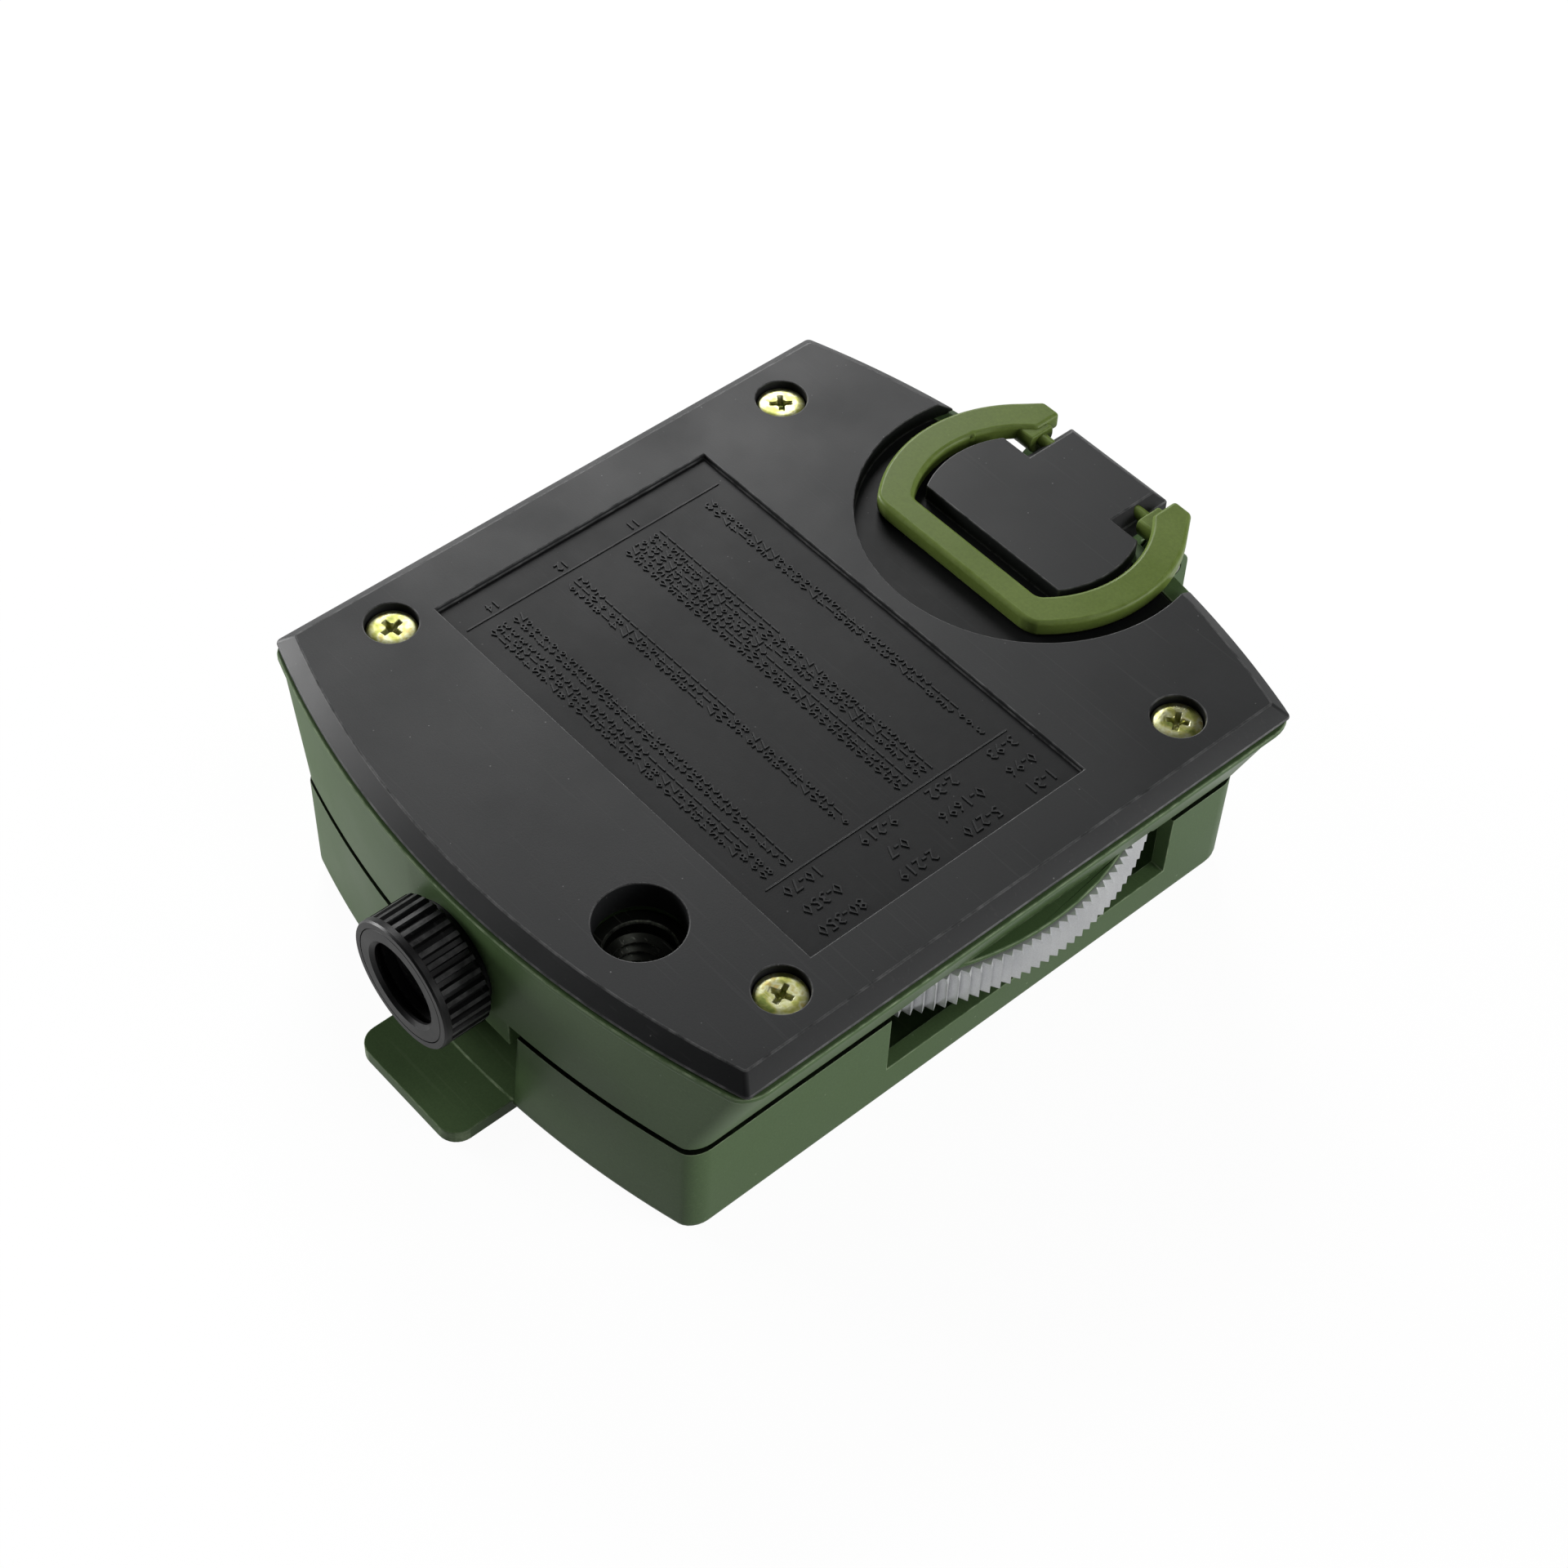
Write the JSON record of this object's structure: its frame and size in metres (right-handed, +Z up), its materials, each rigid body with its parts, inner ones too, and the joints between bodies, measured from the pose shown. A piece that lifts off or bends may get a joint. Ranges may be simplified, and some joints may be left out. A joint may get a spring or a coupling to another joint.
{
  "type": "military sighting compass",
  "caption": "Folded sighting compass with a knurled bezel ring, focusing eyepiece, floating dial, hinged lid, carrying ring and a base plate with a tripod thread.",
  "frame": {"origin": "middle of the case seen from above, on the floor that the closed lid's outer face lies on", "axes": "+Z up, out of the base plate with the tripod thread; +Y along the length, towards the lid hinge and the carrying ring; +X across"},
  "size_m": [0.0656, 0.0867, 0.0265],
  "materials": {
    "green_paint": "satin",
    "black_paint": "matte",
    "ring_aluminium": "turned",
    "zinc_steel": "plated",
    "steel": "ground",
    "brass": "turned",
    "black_plastic": "matte",
    "dial_plastic": "printed",
    "pendulum_red": "matte",
    "jewel": "polished",
    "rubber": "matte",
    "clear_glass": "clear"
  },
  "bodies": {
    "lid": {"lid_shell": "green_paint", "lid_window": "clear_glass", "window_retainer": "black_plastic", "sight_wire": "steel", "hinge_pin": "steel"},
    "case": {"case_body": "green_paint", "base_plate": "black_paint", "base_seal": "rubber", "base_screws": "zinc_steel", "tripod_insert": "steel", "front_glass": "clear_glass", "capsule_housing": "clear_glass", "capsule_pad": "rubber", "pivot_post": "brass", "pendulum_pin": "brass", "bezel_retainer": "black_plastic", "eyepiece_tube": "black_plastic", "eyepiece_seal": "rubber"},
    "ring": {"bezel_ring": "ring_aluminium"},
    "dial": {"dial_card": "dial_plastic", "dial_magnet": "steel", "jewel_cap": "jewel"},
    "pendulum": {"pendulum": "pendulum_red"},
    "knob": {"eyepiece_knob": "black_plastic", "eyepiece_ring": "black_plastic"},
    "cell": {"lens_cell": "black_plastic", "eyepiece_lens": "clear_glass"},
    "carrying_ring": {"d_ring": "green_paint"}
  },
  "joints": [
    {"name": "case_hinge", "type": "hinge", "parent": "lid", "child": "case", "pos_m": [0, 0.0412, 0.0197], "axis": [-1, 0, 0], "range_deg": [0, 100]},
    {"name": "ring_turn", "type": "hinge", "parent": "case", "child": "ring", "pos_m": [0, 0.0062, 0.0117], "axis": [0, 0, 1], "continuous": true},
    {"name": "dial_float", "type": "hinge", "parent": "case", "child": "dial", "pos_m": [0, 0.0062, 0.0145], "axis": [0, 0, 1], "continuous": true},
    {"name": "pendulum_swing", "type": "hinge", "parent": "case", "child": "pendulum", "pos_m": [0, 0.0062, 0.0122], "axis": [0, 0, 1], "continuous": true},
    {"name": "knob_turn", "type": "hinge", "parent": "case", "child": "knob", "pos_m": [0, -0.0402, 0.016], "axis": [0, -1, 0], "range_deg": [-90, 90]},
    {"name": "lens_slide", "type": "slide", "parent": "case", "child": "cell", "axis": [0, -1, 0], "range_m": [-0.00094, 0.00094]},
    {"name": "carrying_ring_swing", "type": "hinge", "parent": "case", "child": "carrying_ring", "pos_m": [0, 0.0394, 0.02525], "axis": [-1, 0, 0], "range_deg": [0, 120]}
  ],
  "couplings": [
    {"joint": "knob_turn", "follows": "lens_slide", "rad_per_m": 1666.7}
  ]
}
